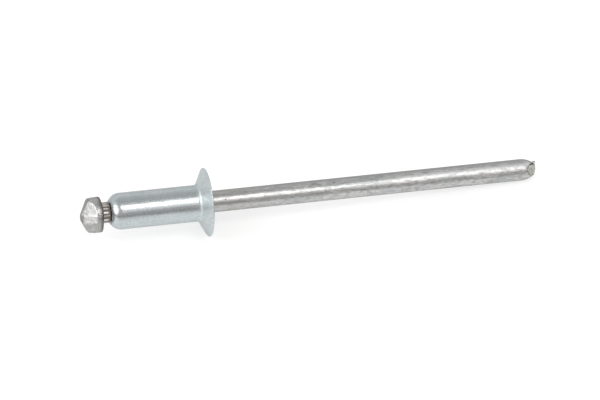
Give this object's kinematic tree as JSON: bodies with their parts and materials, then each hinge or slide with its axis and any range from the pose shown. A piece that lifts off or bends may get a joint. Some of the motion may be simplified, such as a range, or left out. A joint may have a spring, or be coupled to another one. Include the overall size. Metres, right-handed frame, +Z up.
{
  "type": "countersunk blind rivet",
  "caption": "Countersunk blind rivet lying on its side: a round-nosed hollow body with a wide thin head, and a headed mandrel whose long stem runs out through it.",
  "frame": {"origin": "centre of the outer face of the body's head, on the rivet's axis", "axes": "+X along the rivet from the mandrel's head to the tip of its stem, +Z up; the axis dips 4.15 degrees below +X, because the rivet lies on the rim of its head and on the end of its stem"},
  "size_m": [0.0614, 0.009, 0.009],
  "materials": {
    "zinc_plated_steel": "bright zinc plating over formed steel, smooth satin",
    "drawn_steel": "bare drawn wire with fine lengthwise marks, matt where pinched"
  },
  "bodies": {
    "root": {"rivet_body": "zinc_plated_steel", "mandrel": "drawn_steel"}
  },
  "joints": []
}
